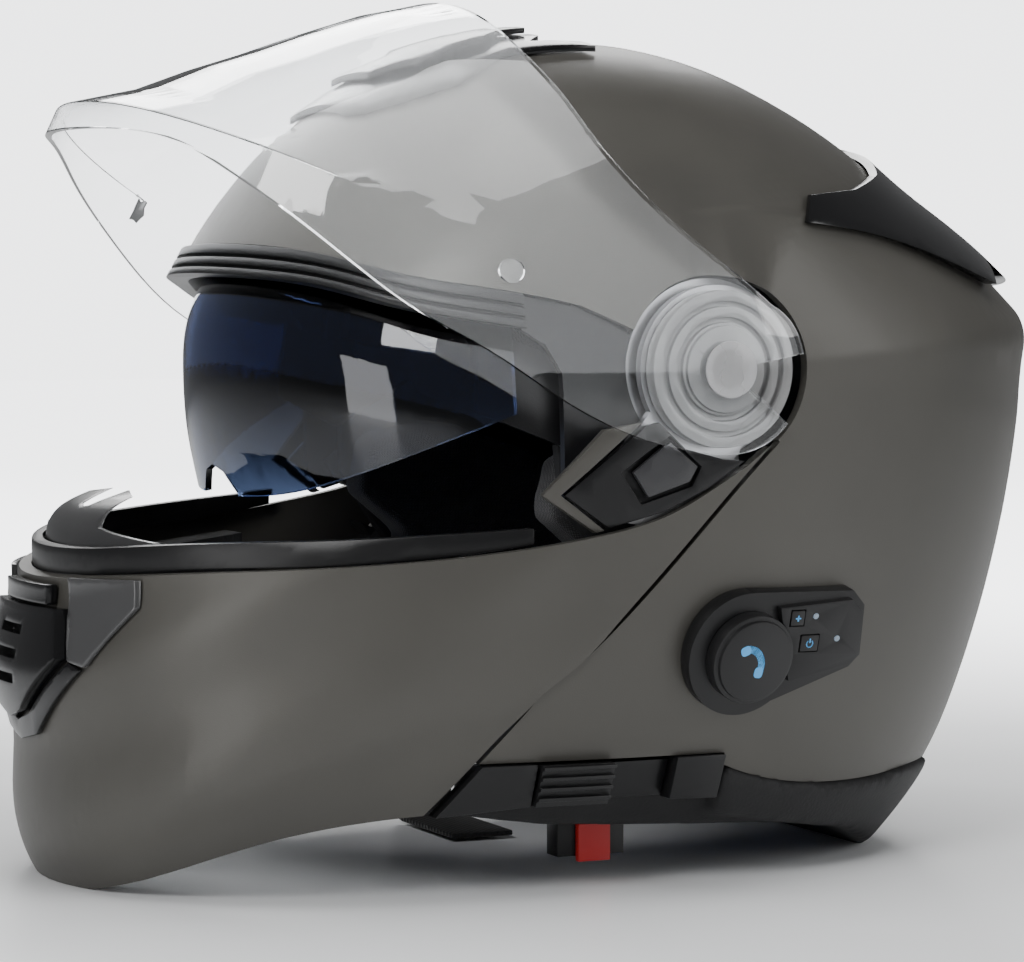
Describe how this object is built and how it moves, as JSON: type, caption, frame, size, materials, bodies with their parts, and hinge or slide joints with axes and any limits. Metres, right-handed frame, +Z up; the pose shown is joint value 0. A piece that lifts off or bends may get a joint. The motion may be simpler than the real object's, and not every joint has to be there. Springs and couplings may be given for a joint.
{
  "type": "modular motorcycle helmet",
  "caption": "Flip-front helmet with a raised clear visor, a lowered dark sun visor, vents, a rear spoiler, chin strap and a small side intercom",
  "frame": {"origin": "on the standing plane, under the centre of the helmet's box", "axes": "+X to the back of the head, front is -X; -Y is the wearer's left; +Z up"},
  "size_m": [0.3466, 0.2568, 0.2743],
  "materials": {
    "shell_paint": "matte",
    "foam": "matte",
    "lining": "matte",
    "neck_fabric": "matte",
    "seal_rubber": "satin",
    "soft_rubber": "matte",
    "black_plastic": "satin",
    "gloss_black": "satin",
    "knob_plastic": "satin",
    "plate_steel": "satin",
    "speaker_plastic": "matte",
    "vent_grey": "gloss",
    "red_plastic": "satin",
    "clear_lens": "gloss",
    "dark_lens": "gloss",
    "cap_plastic": "satin",
    "intercom_case": "matte",
    "intercom_dial": "satin",
    "intercom_key": "matte",
    "lamp_plastic": "gloss",
    "strap_webbing": "matte",
    "lever_plastic": "satin"
  },
  "bodies": {
    "shell": {"outer_shell": "shell_paint", "eps_liner": "foam", "crown_pad": "lining", "cheek_pad_left": "lining", "cheek_pad_right": "lining", "neck_roll": "neck_fabric", "brow_gasket": "seal_rubber", "side_frame_left": "black_plastic", "side_frame_right": "black_plastic", "hinge_plates": "plate_steel", "hinge_pins": "plate_steel", "top_vent_base": "gloss_black", "rear_spoiler": "gloss_black", "slider_cover": "black_plastic", "slider_rail": "black_plastic", "slider_end_cap": "black_plastic", "edge_trim_right": "black_plastic", "intercom_base": "intercom_case", "intercom_body": "intercom_case", "intercom_lights": "lamp_plastic", "strap_left": "strap_webbing", "strap_right": "strap_webbing", "strap_anchors": "plate_steel", "buckle": "black_plastic", "speakers": "speaker_plastic", "sun_visor_pins": "plate_steel"},
    "chin_bar": {"chin_bar_shell": "shell_paint", "chin_bar_liner": "foam", "chin_gasket": "seal_rubber", "chin_arm_left": "plate_steel", "chin_arm_right": "plate_steel", "trim_strip_left": "shell_paint", "trim_strip_right": "shell_paint", "side_plate_left": "black_plastic", "side_plate_right": "black_plastic", "visor_base_left": "black_plastic", "visor_base_right": "black_plastic", "chin_vent_frame": "gloss_black", "vent_cheek_left": "vent_grey", "vent_cheek_right": "vent_grey", "vent_lip": "gloss_black", "breath_guard": "soft_rubber", "chin_curtain": "neck_fabric", "release_housing": "black_plastic", "microphone": "soft_rubber"},
    "vent_shutter": {"chin_vent_shutter": "gloss_black"},
    "visor": {"clear_visor": "clear_lens", "visor_screws": "cap_plastic", "pinlock_pins": "cap_plastic"},
    "sun_lens": {"sun_visor": "dark_lens", "sun_visor_arms": "black_plastic"},
    "sun_knob": {"sun_visor_knob": "knob_plastic"},
    "crown_slider": {"top_vent_slider": "gloss_black"},
    "dial": {"intercom_knob": "intercom_dial"},
    "power_key": {"power_button": "intercom_key"},
    "volume_key": {"volume_button": "intercom_key"},
    "release_key": {"chin_release_button": "red_plastic"},
    "lever_left": {"visor_lever_left": "lever_plastic"},
    "lever_right": {"visor_lever_right": "lever_plastic"},
    "strap_lever": {"buckle_lever": "red_plastic"}
  },
  "joints": [
    {"name": "chin_bar_hinge", "type": "hinge", "parent": "shell", "child": "chin_bar", "pos_m": [0.01307, 0, 0.15893], "axis": [0, 1, 0], "range_deg": [0, 60]},
    {"name": "visor_hinge", "type": "hinge", "parent": "chin_bar", "child": "visor", "pos_m": [0.01307, 0, 0.15893], "axis": [0, 1, 0], "range_deg": [-41, 0]},
    {"name": "sun_visor_hinge", "type": "hinge", "parent": "shell", "child": "sun_lens", "pos_m": [0.01617, 0, 0.12212], "axis": [0, 1, 0], "range_deg": [0, 37]},
    {"name": "sun_visor_slider", "type": "slide", "parent": "shell", "child": "sun_knob", "axis": [1, 0, 0], "range_m": [0, 0.02]},
    {"name": "top_vent_slide", "type": "slide", "parent": "shell", "child": "crown_slider", "axis": [0.8192, 0, 0.5736], "range_m": [0, 0.006]},
    {"name": "chin_vent_slide", "type": "slide", "parent": "chin_bar", "child": "vent_shutter", "axis": [0, 0, 1], "range_m": [0, 0.003]},
    {"name": "intercom_dial_turn", "type": "hinge", "parent": "shell", "child": "dial", "pos_m": [0.02202, -0.11522, 0.07396], "axis": [0.0842, -0.9623, -0.2588], "continuous": true},
    {"name": "power_press", "type": "slide", "parent": "shell", "child": "power_key", "axis": [-0.0842, 0.9623, 0.2588], "range_m": [0, 0.0006], "stiffness_N_per_m": 150},
    {"name": "volume_press", "type": "slide", "parent": "shell", "child": "volume_key", "axis": [-0.0842, 0.9623, 0.2588], "range_m": [0, 0.0006], "stiffness_N_per_m": 150},
    {"name": "release_press", "type": "slide", "parent": "chin_bar", "child": "release_key", "axis": [0, 0, 1], "range_m": [0, 0.002], "stiffness_N_per_m": 250},
    {"name": "visor_lever_slide_left", "type": "slide", "parent": "chin_bar", "child": "lever_left", "axis": [-1, 0, 0], "range_m": [0, 0.0022], "stiffness_N_per_m": 150},
    {"name": "visor_lever_slide_right", "type": "slide", "parent": "chin_bar", "child": "lever_right", "axis": [-1, 0, 0], "range_m": [0, 0.0022], "stiffness_N_per_m": 150},
    {"name": "buckle_lever_hinge", "type": "hinge", "parent": "shell", "child": "strap_lever", "pos_m": [-0.00585, -0.07167, 0.017], "axis": [1, 0, 0], "range_deg": [-30, 0], "stiffness_Nm_per_rad": 0.02}
  ],
  "couplings": [
    {"joint": "sun_visor_slider", "follows": "sun_visor_hinge", "m_per_rad": 0.03097}
  ]
}
